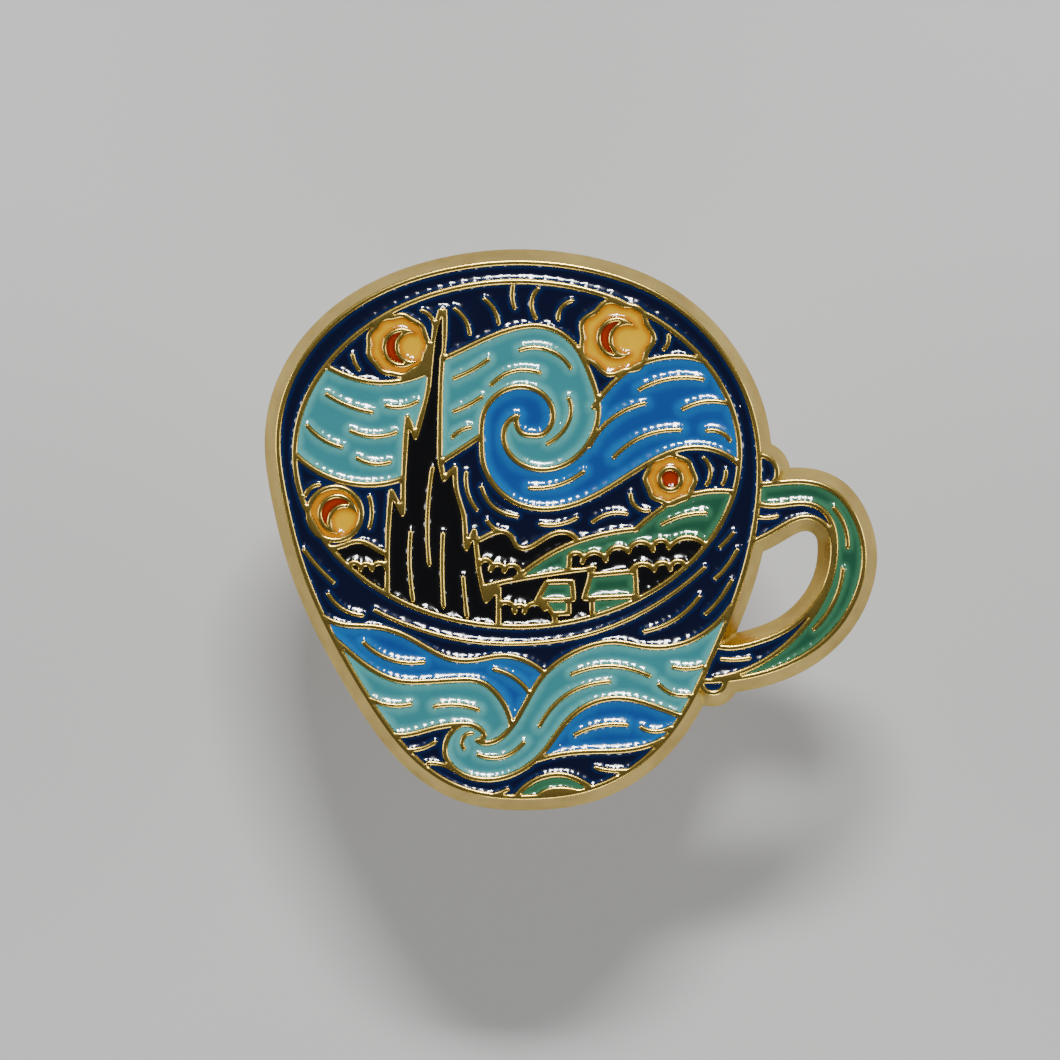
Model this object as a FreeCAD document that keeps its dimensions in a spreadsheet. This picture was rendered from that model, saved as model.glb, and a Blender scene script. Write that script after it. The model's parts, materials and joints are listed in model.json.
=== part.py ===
# Enamel pin: a mug-shaped, gold-plated soft enamel pin with two posts and two butterfly clutches.
# Millimetres. The origin is midway between the posts on the flat back face. +Z points out of the
# enamelled face, +Y to the mug's rim and +X to its handle. Both clutches hang below the back face.

import FreeCAD, Part
import Sketcher
import math
import os

from FreeCAD import Placement, Rotation, Vector

doc = FreeCAD.newDocument("EnamelPin")


# Driving dimensions.

driving_sizes = [
    # the die-struck plate
    ("pin_width", 38.1, "overall width over the sloped side wall"),
    ("pin_height", 34.9, "overall height over the sloped side wall"),
    ("plate_thickness", 2.0, "back face to the tops of the ridges"),
    ("wall_slope", 0.7, "how far the side wall leans out between the border and the back"),
    ("wall_land", 0.35, "upright band at the foot of the side wall"),
    ("border_width", 0.36, "raised border round every edge"),
    ("ridge_width", 0.36, "raised lines between two enamel cells"),
    ("dash_width", 0.3, "short raised strokes inside a cell"),
    ("cell_depth", 0.5, "ridge tops to the floor of a cell"),
    ("enamel_drop", 0.12, "ridge tops to the enamel"),
    # the two posts and their solder
    ("post_spacing", 15.0, "between the two posts"),
    ("post_reach", 7.6, "back face to the tip of a post"),
    ("post_radius", 0.55, "shank of a post"),
    ("post_tip_radius", 0.1, "blunted end of the tip"),
    ("post_tip_length", 0.95, "tapered tip"),
    ("ring_groove_depth", 0.12, "groove that a jaw drops into"),
    ("ring_groove_width", 0.5, "groove along the post"),
    ("ring_groove_from_tip", 1.9, "tip of the post to the middle of the groove"),
    ("pad_radius", 1.5, "flat head of a post"),
    ("pad_thickness", 0.4, "flat head of a post"),
    ("locating_depth", 0.2, "recess in the back that locates a pad"),
    ("solder_width", 0.2, "solder between a pad and the wall of its recess"),
    ("solder_climb", 0.12, "solder above the back face, up the side of the pad"),
    # the two butterfly clutches, measured from the clutch's own front plane
    ("cloth_gap", 2.2, "back face to a clutch as it is worn"),
    ("clutch_radius", 5.6, "outside of a clutch's rolled rim"),
    ("sheet", 0.25, "brass sheet of the plate and cap"),
    ("lip_width", 0.9, "rim rolled over the front plate"),
    ("rim_round", 0.2, "rounding of the rolled rim"),
    ("post_play", 0.2, "round a post where it passes through the clutch"),
    ("funnel_width", 0.45, "flare that leads the tip of a post in"),
    ("funnel_depth", 0.12, "flare that leads the tip of a post in"),
    ("grip_count", 8, "bumps that grip the cloth"),
    ("grip_circle", 3.4, "radius of the ring of bumps"),
    ("grip_radius", 0.38, "one bump"),
    ("grip_height", 0.14, "one bump"),
    ("dome_radius", 2.75, "outside of the cap's dome"),
    ("dome_height", 3.2, "front plane to the top of the dome"),
    ("dome_round", 0.3, "chamfer round the top of the dome"),
    ("bead_radius", 4.2, "middle of the bead pressed into the flange"),
    ("bead_width", 0.5, "bead pressed into the flange"),
    ("bead_height", 0.12, "bead pressed into the flange"),
    ("window_play", 0.2, "each side of a wing in its window"),
    ("window_sill", 0.75, "front plane to the foot of a window"),
    ("window_head", 2.7, "front plane to the top of a window"),
    ("wing_width", 3.2, "spring strip"),
    ("wing_thickness", 0.3, "spring strip"),
    ("jaw_level", 1.25, "front plane to the middle of a jaw"),
    ("jaw_play", 0.04, "jaw to post, with the spring closed"),
    ("jaw_parting", 0.08, "jaw to the middle plane of the clutch"),
    ("heel_reach", 2.05, "middle of the clutch to the upright heel of a wing"),
    ("window_level", 2.05, "front plane to the middle of the strip in its window"),
    ("ear_reach", 4.2, "middle of the clutch to the outer side of an ear"),
    ("ear_top", 5.45, "front plane to the top of an ear"),
    ("ear_tail_reach", 2.75, "middle of the clutch to the curled tail of an ear"),
    ("ear_tail_level", 4.3, "front plane to the end of the curled tail"),
    ("ear_bend", 0.7, "radius of the ear's two upper bends"),
    ("foot_bend", 0.35, "radius of the strip's lower bends"),
]

sheet = doc.addObject("Spreadsheet::Sheet", "Sizes")
for row, (alias, value, meaning) in enumerate(driving_sizes, start=1):
    sheet.set(f"A{row}", alias)
    sheet.set(f"B{row}", str(value))
    sheet.setAlias(f"B{row}", alias)
    sheet.set(f"C{row}", meaning)
doc.recompute()


def size(alias):
    return float(sheet.get(alias))


# Drawing the face.
# The face is drawn once, at the size below, and stretched to the pin's width and height.
# Closed outlines run clockwise, so that their outside is on the left.

drawn_width = 36.76
drawn_height = 33.55
stretch_x = (size("pin_width") - 2 * size("wall_slope")) / drawn_width
stretch_y = (size("pin_height") - 2 * size("wall_slope")) / drawn_height

plate_thickness = size("plate_thickness")
wall_slope = size("wall_slope")
wall_land = size("wall_land")
border_width = size("border_width")
ridge_width = size("ridge_width")
dash_width = size("dash_width")
up = Vector(0, 0, 1)

# How far apart the points lie that carry an offset curve, and how many carry a round one.
band_spacing = 0.6
mug_spacing = 2.5
handle_spacing = 1.6
inner_spacing = 1.2
rim_points = 24
disc_points = 28
touching = 1e-4


def spot(x, y):
    return Vector(x * stretch_x, y * stretch_y, 0)


def smooth_curve(points, closed=False):
    curve = Part.BSplineCurve()
    curve.interpolate([spot(x, y) for x, y in points], PeriodicFlag=closed)
    return curve


def face_inside(edges):
    # The flat face inside a closed outline, with its front towards +Z.
    face = Part.Face(Part.Wire(edges))
    if face.normalAt(0, 0).z < 0:
        face.reverse()
    return face


def beside(curve, offset, spacing, closed=False):
    # A curve that keeps a set distance from another, to its left where the offset is positive.
    stations = max(4, 1 + math.ceil(curve.length() / spacing))
    first, last = curve.FirstParameter, curve.LastParameter
    points = []
    for i in range(stations - 1 if closed else stations):
        at = first + (last - first) * i / (stations - 1)
        points.append(curve.value(at) + up.cross(curve.tangent(at)[0]) * offset)
    side = Part.BSplineCurve()
    side.interpolate(points, PeriodicFlag=closed)
    return side


def band_along(curve, width):
    # A ridge of even width along a curve, with round ends.
    left = beside(curve, width / 2, band_spacing)
    right = beside(curve, -width / 2, band_spacing)
    edges = [left.toShape(), right.toShape()]
    for at, outward in ((curve.FirstParameter, -1), (curve.LastParameter, 1)):
        tip = curve.value(at) + curve.tangent(at)[0] * (outward * width / 2)
        start, end = [(side.StartPoint if outward < 0 else side.EndPoint) for side in (left, right)]
        edges.append(Part.Arc(start, tip, end).toShape())
    return face_inside(Part.__sortEdges__(edges))


def ridge(points, width=ridge_width):
    return band_along(smooth_curve(points), width)


def dash(points):
    return ridge(points, dash_width)


def joined_ridge(curves, width=ridge_width):
    # A ridge along several curves, with a rounded corner where one meets the next.
    bands = [band_along(curve, width) for curve in curves]
    return bands[0].fuse(bands[1:]).removeSplitter()


def straight_ridge(points):
    return joined_ridge([Part.LineSegment(spot(*a), spot(*b)) for a, b in zip(points, points[1:])])


def scalloped_ridge(points, rise):
    # A row of round-topped bumps through the given feet, as on a line of bushes.
    bumps = []
    for a, b in zip(points, points[1:]):
        top = ((a[0] + b[0]) / 2, (a[1] + b[1]) / 2 + rise)
        bumps.append(Part.Arc(spot(*a), spot(*top), spot(*b)))
    return joined_ridge(bumps)


def disc_face(centre, radius, offset, lobes=0, swell=0.0):
    # A disc of the drawing, grown by an offset. Its edge may swell gently in and out.
    points = []
    for i in range(disc_points):
        turn = 2 * math.pi * i / disc_points
        reach = radius + swell * math.cos(lobes * turn)
        away = Vector(math.cos(turn), math.sin(turn), 0)
        points.append(spot(centre[0] + reach * away.x, centre[1] + reach * away.y) + away * offset)
    edge = Part.BSplineCurve()
    edge.interpolate(points, PeriodicFlag=True)
    return face_inside([edge.toShape()])


def disc_ring(centre, radius, lobes=0, swell=0.0):
    outside = disc_face(centre, radius, ridge_width / 2, lobes, swell)
    return outside.cut(disc_face(centre, radius, -ridge_width / 2, lobes, swell))


def crescent_ring(centre, radius, bite_centre, bite_radius):
    # The outline of a crescent: a disc with a smaller disc bitten out of it.
    half = dash_width / 2
    outside = disc_face(centre, radius, half).cut(disc_face(bite_centre, bite_radius, -half))
    inside = disc_face(centre, radius, -half).cut(disc_face(bite_centre, bite_radius, half))
    return outside.cut(inside)


def spiral(centre, turns, radii, count):
    # Points on an even spiral between two turns, in degrees, and two radii.
    points = []
    for i in range(count):
        share = i / (count - 1)
        turn = math.radians(turns[0] + share * (turns[1] - turns[0]))
        reach = radii[0] + share * (radii[1] - radii[0])
        points.append((centre[0] + reach * math.cos(turn), centre[1] + reach * math.sin(turn)))
    return points


# Outlines of the plate.
# Each outline is a function that gives its face, grown or shrunk by an offset.

mug_curve = smooth_curve([
    (0.3, 14.9), (5.2, 14.2), (9.4, 12.35), (12.6, 9.2), (14.4, 5.6), (14.9, 2.0), (14.5, -2.2),
    (13.4, -6.2), (12.0, -9.6), (10.3, -13.1), (7.6, -16.3), (4.2, -18.1), (0.4, -18.6), (-3.6, -18.1),
    (-7.0, -15.9), (-9.6, -12.5), (-11.8, -8.7), (-13.7, -4.4), (-14.9, 0.2), (-15.3, 4.2),
    (-14.0, 8.4), (-10.9, 11.8), (-6.0, 14.1),
], closed=True)

handle_curve = smooth_curve([
    (13.4, 1.15), (15.9, 1.25), (17.7, 1.3), (19.5, 0.65), (20.8, -1.0), (21.4, -3.3), (21.0, -5.7),
    (19.7, -8.0), (17.6, -9.8), (15.0, -10.9), (12.4, -11.35), (10.9, -11.4),
])
handle_root = (8.0, -5.0)

inner_curve = smooth_curve([
    (11.6, -4.1), (13.2, -3.2), (15.3, -2.3), (16.6, -1.55), (17.9, -1.25), (18.8, -1.8), (19.1, -3.2),
    (18.8, -4.9), (17.9, -6.5), (16.4, -7.85), (14.4, -8.7), (12.4, -8.95), (11.0, -8.2), (10.4, -6.0),
], closed=True)


def mug_face(offset):
    return face_inside([beside(mug_curve, offset, mug_spacing, closed=True).toShape()])


def handle_face(offset):
    sweep = beside(handle_curve, offset, handle_spacing)
    root = Part.makePolygon([sweep.EndPoint, spot(*handle_root), sweep.StartPoint])
    return face_inside([sweep.toShape()] + root.Edges)


def inner_face(offset):
    return face_inside([beside(inner_curve, offset, inner_spacing, closed=True).toShape()])


def upper_knuckle_face(offset):
    return disc_face((14.75, 1.7), 1.25, offset)


def lower_knuckle_face(offset):
    return disc_face((11.85, -11.2), 0.95, offset)


def leaning_slab(outline, lean):
    # A slab with an upright foot, whose side wall leans by the slope from there to the top.
    foot = outline(lean)
    land = foot.extrude(up * wall_land)
    lower = foot.Wires[0].translated(up * wall_land)
    upper = outline(0).Wires[0].translated(up * plate_thickness)
    return land.fuse(Part.makeLoft([lower, upper], True, True))


def build_plate():
    handle = leaning_slab(handle_face, wall_slope).cut(leaning_slab(inner_face, -wall_slope))
    knuckles = [leaning_slab(outline, wall_slope) for outline in (upper_knuckle_face, lower_knuckle_face)]
    return leaning_slab(mug_face, wall_slope).fuse([handle] + knuckles).removeSplitter()


def build_fields():
    # The areas inside the borders, before the ridges divide them into cells.
    mug = mug_face(0)
    handle = handle_face(0)
    fields = {"mug": mug_face(-border_width)}
    fields["handle"] = handle_face(-border_width).cut([inner_face(border_width), mug])
    fields["upper_knuckle"] = upper_knuckle_face(-border_width).cut([mug, handle])
    fields["lower_knuckle"] = lower_knuckle_face(-border_width).cut([mug, handle])
    return fields


# Ridges and strokes.

rim_centre = (-0.3, 2.85)
rim_radii = (13.8, 10.7)
eye = (0.4, 4.8)


def rim_ridge():
    rings = []
    for side in (1, -1):
        reach = [radius + side * ridge_width / 2 for radius in rim_radii]
        points = []
        for i in range(rim_points):
            turn = 2 * math.pi * i / rim_points
            points.append(spot(*rim_centre) + Vector(reach[0] * stretch_x * math.cos(turn),
                                                     reach[1] * stretch_y * math.sin(turn), 0))
        edge = Part.BSplineCurve()
        edge.interpolate(points, PeriodicFlag=True)
        rings.append(face_inside([edge.toShape()]))
    return rings[0].cut(rings[1])


def sky_ridges():
    teal_arm = spiral(eye, (150, 400), (0.8, 4.9), 9)
    teal_arm += [(3.0, 9.9), (1.4, 10.75), (-0.8, 10.55), (-3.0, 9.65), (-4.95, 8.75)]
    blue_arm = [teal_arm[0], (-0.3, 4.55), (0.0, 4.15)] + spiral(eye, (-80, 200), (0.8, 3.1), 9)
    blue_arm += [(-2.4, 2.3), (-1.7, 0.9), (-0.3, -0.2), (1.6, -0.55), (3.8, -0.05), (6.0, 1.15),
                 (8.0, 2.4), (9.6, 3.1), (11.2, 3.25), (13.3, 2.35)]
    return [
        ridge(teal_arm),
        ridge(blue_arm),
        ridge([(4.45, 5.75), (5.4, 7.0), (6.7, 8.1), (8.3, 8.75), (9.9, 8.9), (11.35, 8.6)]),
        ridge([(-12.1, 8.3), (-10.7, 7.65), (-9.0, 7.3), (-7.2, 7.45), (-5.75, 8.0)]),
        ridge([(-14.1, 2.9), (-12.7, 1.8), (-11.1, 1.15), (-9.3, 0.95), (-7.35, 1.35)]),
        ridge([(-4.95, 2.4), (-3.7, 3.2), (-2.6, 3.95)]),
    ]


def sky_dashes():
    teal_left = [
        [(-12.1, 6.55), (-11.0, 5.95), (-9.3, 5.45)], [(-8.4, 5.85), (-7.3, 5.8), (-6.5, 6.1)],
        [(-13.3, 4.6), (-12.4, 3.8), (-11.2, 3.3)], [(-10.6, 4.3), (-9.3, 3.95), (-7.8, 4.2)],
        [(-10.2, 2.6), (-9.2, 2.25), (-8.2, 2.35)],
    ]
    teal_right = [
        [(-4.2, 7.55), (-3.2, 8.0), (-2.1, 8.7)], [(-4.2, 5.5), (-3.3, 5.9), (-2.5, 6.4)],
        [(-4.3, 3.9), (-3.6, 4.4), (-3.2, 4.5)], [(-1.9, 7.15), (-0.7, 7.95), (1.1, 7.9)],
        [(-0.1, 9.3), (1.3, 9.4), (2.4, 8.9), (3.0, 8.2)], [(2.9, 6.3), (2.95, 5.0), (2.4, 4.1), (1.6, 3.5)],
    ]
    blue = [
        [(0.5, 0.75), (2.3, 0.95), (3.8, 1.75)], [(4.2, 3.35), (5.4, 4.9), (7.6, 6.0)],
        [(7.3, 6.85), (8.8, 7.45), (11.2, 7.5)], [(5.7, 2.65), (7.4, 3.9), (9.8, 4.35)],
        [(10.0, 5.65), (11.3, 6.1), (12.9, 5.95)], [(11.5, 4.3), (12.2, 4.25), (12.9, 3.7)],
    ]
    navy = [
        [(-4.15, 11.85), (-3.6, 11.3), (-3.25, 10.3)], [(-2.3, 12.45), (-1.7, 11.75), (-1.45, 10.95)],
        [(-0.55, 13.25), (-0.6, 12.6), (-0.45, 11.9)], [(1.0, 13.1), (0.6, 12.3), (0.85, 11.3)],
        [(3.1, 12.35), (2.5, 12.0), (2.25, 11.2)], [(-6.2, 11.75), (-5.6, 11.3), (-5.45, 10.5)],
        [(-10.5, 9.0), (-10.35, 8.5), (-10.1, 8.1)], [(9.1, 10.2), (9.05, 9.7), (8.8, 9.35)],
        [(-13.4, 0.3), (-13.1, 0.75), (-12.6, 0.95)], [(-9.45, 0.2), (-9.3, -0.8), (-9.45, -1.7)],
        [(-3.45, 1.7), (-3.4, 0.6), (-2.8, -0.6)], [(-2.5, 0.8), (-1.9, -0.3), (-0.3, -1.0)],
        [(1.15, -1.5), (2.3, -1.5), (3.4, -1.1)], [(4.4, -1.35), (5.4, -0.85), (6.5, -0.85)],
        [(6.75, 0.35), (7.0, -0.35), (7.85, -0.65)], [(11.3, 2.6), (11.7, 1.8), (11.45, 0.95)],
        [(12.65, 1.8), (12.6, 1.35), (12.45, 1.0)],
    ]
    return [dash(points) for points in teal_left + teal_right + blue + navy]


def tree_ridges():
    left_edge = [
        (-5.05, 11.75), (-5.42, 10.4), (-5.68, 8.4), (-5.8, 7.0), (-6.6, 3.9), (-7.1, 5.1), (-7.35, 1.3),
        (-7.4, -0.85), (-8.1, 0.55), (-8.3, -1.8), (-8.35, -5.75),
    ]
    right_edge = [
        (-4.8, 11.75), (-4.79, 10.4), (-4.95, 8.6), (-5.1, 2.6), (-4.85, 1.3), (-4.15, 2.0), (-4.1, 0.8),
        (-3.6, -1.0), (-3.45, -3.0), (-2.95, -1.9), (-2.65, -4.5), (-2.25, -6.25), (-1.45, -5.5),
        (-1.45, -7.6),
    ]
    bark = [
        [(-5.55, 2.0), (-5.85, -0.9), (-5.75, -4.0)], [(-6.9, -2.0), (-6.95, -4.4), (-6.75, -6.2)],
        [(-4.9, -2.1), (-4.95, -4.4), (-4.85, -6.6)], [(-3.65, -4.8), (-3.55, -5.9), (-3.4, -7.2)],
    ]
    return [straight_ridge(left_edge), straight_ridge(right_edge)] + [dash(points) for points in bark]


def land_ridges():
    return [
        # hills and bushes left of the tree
        ridge([(-11.9, -2.95), (-11.2, -2.85), (-10.1, -2.55), (-9.2, -2.9), (-8.4, -3.35)]),
        scalloped_ridge([(-10.75, -4.15), (-10.0, -4.3), (-9.3, -4.3), (-8.4, -4.2)], 0.35),
        # the dark hill, the bushes under it and the foot of the green hill
        ridge([(-2.75, -2.5), (-1.9, -2.1), (-1.2, -1.95), (-0.6, -2.35), (-0.2, -2.95), (0.8, -2.75),
               (1.8, -2.15), (2.7, -2.0), (3.4, -2.45)]),
        dash([(-2.15, -1.3), (-1.85, -1.65), (-1.35, -1.9)]),
        scalloped_ridge([(-2.55, -3.85), (-1.95, -4.35), (-1.1, -4.4), (-0.15, -4.45)], 0.4),
        ridge([(-2.35, -5.4), (-0.8, -5.0), (0.9, -4.72), (2.9, -4.4), (4.45, -4.2)]),
        # the green hill, and the row of bushes on it
        ridge([(-0.35, -4.8), (0.8, -3.95), (2.4, -3.0), (4.3, -2.3), (7.15, -1.8)]),
        ridge([(7.0, -1.85), (8.0, -1.0), (9.4, -0.1), (11.0, 0.45), (13.15, 0.5)]),
        dash([(8.7, -1.5), (9.9, -1.0), (11.4, -0.8)]),
        ridge([(2.85, -4.35), (2.95, -3.75)]),
        scalloped_ridge([(2.95, -3.75), (3.75, -3.85), (5.2, -3.75), (6.6, -3.2), (8.15, -3.1), (9.1, -2.95),
                         (11.4, -2.8)], 0.55),
        # bushes right of the barn
        ridge([(7.0, -4.1), (7.1, -6.0)]),
        scalloped_ridge([(6.75, -4.45), (8.2, -4.35), (9.2, -4.3), (10.15, -4.15)], 0.45),
        # cottage
        straight_ridge([(1.55, -5.1), (3.1, -5.05), (3.2, -6.15), (0.95, -6.2), (1.55, -5.1)]),
        straight_ridge([(2.9, -6.15), (2.9, -7.0), (1.95, -7.05), (1.5, -6.5)]),
        ridge([(2.0, -7.05), (2.05, -7.55)]),
        # barn
        straight_ridge([(4.3, -4.2), (4.25, -4.65), (3.85, -6.1), (7.1, -5.95)]),
        ridge([(4.25, -4.65), (6.9, -4.4)]),
        ridge([(4.35, -6.1), (4.35, -6.9)]),
        # hedge in front of the cottage
        scalloped_ridge([(-1.45, -6.6), (-0.45, -6.95), (0.15, -6.95), (1.4, -6.75)], 0.45),
    ]


def water_ridges():
    return [
        ridge([(-12.4, -7.15), (-10.9, -7.75), (-9.2, -7.85), (-7.6, -8.25), (-6.0, -9.1), (-4.4, -9.85),
               (-2.8, -9.9), (-1.2, -9.65), (0.2, -9.95), (1.35, -10.7)]),
        ridge([(12.95, -6.6), (12.0, -7.7), (10.6, -8.65), (9.0, -9.1), (7.4, -9.05), (5.8, -8.8),
               (4.2, -9.05), (2.6, -9.8), (1.3, -10.9), (0.4, -12.3), (-0.4, -13.7), (-1.2, -14.65),
               (-2.0, -15.05), (-2.75, -14.9)]),
        ridge([(-11.9, -8.3), (-10.6, -9.5), (-9.2, -10.55), (-7.6, -11.2), (-5.8, -11.25), (-4.0, -11.15),
               (-2.5, -11.3), (-1.5, -12.1), (-0.9, -13.1), (-0.65, -14.0)]),
        ridge([(-8.1, -14.55), (-6.8, -14.5), (-5.3, -14.1), (-3.9, -13.9), (-2.95, -14.0), (-2.35, -14.5),
               (-2.75, -14.9)]),
        ridge([(-3.9, -14.0), (-4.6, -14.75), (-4.75, -15.8), (-4.0, -16.8), (-2.7, -17.3), (-1.1, -17.2),
               (0.3, -16.55), (1.35, -15.6), (2.2, -14.45), (3.2, -13.3), (4.6, -12.5), (6.3, -12.3),
               (8.0, -12.7), (9.9, -13.4)]),
        ridge([(1.0, -16.1), (2.5, -15.75), (4.2, -15.6), (6.0, -15.55), (7.6, -15.3), (8.7, -14.85)]),
        ridge([(-0.4, -18.45), (0.3, -17.7), (1.4, -17.15), (2.6, -17.05), (3.7, -17.45), (4.5, -18.0)]),
        ridge([(0.95, -18.4), (1.6, -18.0), (2.5, -17.9), (3.9, -18.1)], dash_width),
    ]


def water_dashes():
    navy = [
        [(-13.5, -3.1), (-12.7, -4.1), (-11.7, -5.1)], [(-12.0, -5.85), (-11.2, -6.7), (-9.9, -7.15)],
        [(-9.1, -6.85), (-6.4, -8.0), (-3.2, -8.75), (0.0, -8.9), (3.4, -8.5), (6.6, -7.4), (9.2, -5.9),
         (11.3, -4.2)],
        [(12.3, -2.9), (12.7, -2.5), (13.1, -2.05)], [(12.0, -4.85), (12.8, -4.0), (13.35, -3.1)],
        [(11.4, -7.05), (12.3, -6.1), (13.0, -5.0)], [(7.6, -8.15), (9.5, -7.4), (11.0, -6.0)],
    ]
    blue_left = [
        [(-9.8, -8.85), (-8.6, -9.7), (-6.1, -10.05)], [(-1.7, -10.5), (-0.5, -11.0), (0.45, -11.95)],
    ]
    teal = [
        [(-9.35, -12.35), (-8.3, -12.7), (-6.9, -12.65)], [(-5.4, -12.8), (-4.1, -12.7), (-2.7, -13.0)],
        [(-3.1, -14.45), (-3.65, -14.75), (-3.6, -15.4)], [(-2.7, -15.8), (-1.3, -15.95), (0.1, -15.05)],
        [(1.1, -14.0), (2.6, -12.2), (5.4, -11.25)], [(3.1, -10.8), (5.2, -10.3), (7.9, -10.9)],
        [(8.5, -11.45), (9.2, -11.95), (10.4, -12.1)], [(9.4, -10.35), (10.2, -10.45), (11.2, -10.3)],
    ]
    blue_right = [[(3.3, -14.55), (4.8, -14.0), (6.5, -13.95)], [(7.4, -14.1), (8.2, -14.35), (9.2, -14.1)]]
    bottom = [
        [(-7.1, -15.5), (-6.2, -15.4), (-5.4, -15.0)], [(-5.8, -16.3), (-4.95, -16.4), (-4.2, -16.75)],
        [(-1.7, -18.25), (-1.2, -18.1), (-0.9, -17.95)], [(4.6, -16.6), (5.8, -16.8), (7.4, -16.55)],
    ]
    return [dash(points) for points in navy + blue_left + teal + blue_right + bottom]


def handle_ridges():
    return [
        ridge([(14.55, -0.15), (15.8, -0.35), (17.2, -0.2), (18.4, -0.45), (19.15, -1.3), (19.45, -2.7),
               (19.3, -4.3), (18.7, -6.0), (17.6, -7.7), (16.1, -9.2), (14.2, -10.4), (12.0, -11.05)]),
        dash([(14.6, -1.05), (15.2, -1.1), (15.8, -1.0)]),
        dash([(19.35, -0.5), (20.0, -1.6), (20.2, -2.9)]),
        dash([(19.9, -4.3), (19.4, -6.2), (18.1, -8.0)]),
        dash([(12.4, -9.85), (13.3, -9.9), (14.1, -9.8)]),
    ]


def disc_ridges():
    return [
        disc_ring((-7.68, 9.6), 1.84, 9, 0.05), crescent_ring((-7.45, 9.45), 1.1, (-6.75, 9.5), 1.0),
        disc_ring((5.85, 10.05), 2.2, 7, 0.12), crescent_ring((5.9, 10.05), 1.15, (6.55, 9.95), 1.05),
        disc_ring((-11.6, -0.85), 1.65), crescent_ring((-11.45, -0.85), 1.1, (-10.95, -1.35), 1.0),
        disc_ring((9.2, 1.3), 1.5, 8, 0.05), disc_ring((9.2, 1.3), 0.68),
    ]


# Enamel cells by colour.
# Each name is one enamel fill, with a point inside every cell that it fills.

enamel_seeds = {
    "enamel_navy_rim": [(0.3, 14.15)],
    "enamel_navy_sky": [(-1.2, 12.6), (-10.9, 8.9), (8.6, 9.7), (4.85, 7.4), (12.1, 2.3), (0.5, -1.9),
                        (-8.9, 0.0), (-13.3, 1.6)],
    "enamel_teal_sky_left": [(-9.0, 6.8)],
    "enamel_teal_swirl": [(-3.6, 8.6)],
    "enamel_blue_swirl": [(8.0, 5.2)],
    "enamel_yellow_disc_upper_left": [(-9.05, 9.5)],
    "enamel_yellow_disc_upper_right": [(4.2, 10.05)],
    "enamel_yellow_disc_left": [(-12.88, -0.85)],
    "enamel_yellow_disc_right": [(10.3, 1.3)],
    "enamel_orange_crescent_upper_left": [(-8.15, 9.45)],
    "enamel_orange_crescent_upper_right": [(5.15, 10.05)],
    "enamel_orange_crescent_left": [(-11.94, -0.36)],
    "enamel_orange_dot_right": [(9.2, 1.3)],
    "enamel_black_tree": [(-6.3, -3.0)],
    "enamel_black_hills": [(-10.5, -3.5), (-9.1, -4.75), (1.5, -2.9)],
    "enamel_black_bushes": [(-1.0, -4.75), (6.0, -3.9), (8.0, -4.9), (0.0, -7.3)],
    "enamel_black_field": [(-0.5, -5.7)],
    "enamel_green_hill": [(9.0, -0.7)],
    "enamel_green_roofs": [(2.4, -5.6), (5.5, -5.2)],
    "enamel_green_walls": [(2.4, -6.6), (5.3, -6.4)],
    "enamel_blue_wave_left": [(-7.0, -9.2)],
    "enamel_teal_wave_left": [(-7.5, -12.0)],
    "enamel_teal_wave_curl": [(0.8, -12.6)],
    "enamel_blue_wave_right": [(4.5, -15.0)],
    "enamel_navy_water": [(-6.6, -15.0), (-6.2, -15.9), (3.0, -16.4)],
    "enamel_green_mound": [(2.0, -17.5)],
    "enamel_green_handle": [(17.0, 0.5)],
    "enamel_navy_handle": [(16.6, -0.8), (13.5, -9.4)],
}


def cut_cells(fields):
    # The mug's and the handle's fields, divided into cells by the ridges and dashes.
    drawn = [rim_ridge()] + sky_ridges() + sky_dashes() + tree_ridges() + land_ridges() + disc_ridges()
    drawn += water_ridges() + water_dashes()
    return fields["mug"].cut(drawn).Faces + fields["handle"].cut(handle_ridges()).Faces


def cells_with(cells, seeds):
    found = []
    for seed in seeds:
        here = [cell for cell in cells if cell.isInside(spot(*seed), touching, True)]
        if not here:
            raise RuntimeError(f"no cell round {seed}")
        found += [cell for cell in here if not any(cell.isSame(other) for other in found)]
    return found


# Document helpers.

nodes = []


def named(kind, label):
    piece = doc.addObject(kind, label)
    piece.Label = label
    return piece


def node(piece):
    nodes.append(piece)
    return piece


def shape_feature(label, shape):
    piece = named("Part::Feature", label)
    piece.Shape = shape
    return piece


def origin_plane(body, role):
    return next(plane for plane in body.Origin.OriginFeatures if plane.Role == role)


def sketch_on(body, role, name):
    sketch = body.newObject("Sketcher::SketchObject", name)
    sketch.AttachmentSupport = [(origin_plane(body, role), "")]
    sketch.MapMode = "FlatFace"
    return sketch


def pin_point(sketch, geometry, corner, expressions):
    # Ties one point of a sketch to the spreadsheet, across and up from the sketch's origin.
    for kind, axis, expression in (("DistanceX", -2, expressions[0]), ("DistanceY", -1, expressions[1])):
        if expression == "0":
            sketch.addConstraint(Sketcher.Constraint("PointOnObject", geometry, corner, axis))
            continue
        value = float(sketch.evalExpression(expression))
        index = sketch.addConstraint(Sketcher.Constraint(kind, -1, 1, geometry, corner, value))
        sketch.setExpression(f"Constraints[{index}]", expression)


def draw_polygon(sketch, corners):
    # A closed outline of straight lines whose corners are expressions on the spreadsheet.
    at = [Vector(*[float(sketch.evalExpression(e)) for e in corner], 0) for corner in corners]
    count = len(at)
    for i in range(count):
        sketch.addGeometry(Part.LineSegment(at[i], at[(i + 1) % count]))
    for i in range(count):
        sketch.addConstraint(Sketcher.Constraint("Coincident", i, 2, (i + 1) % count, 1))
    for i, corner in enumerate(corners):
        pin_point(sketch, i, 1, corner)


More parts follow.
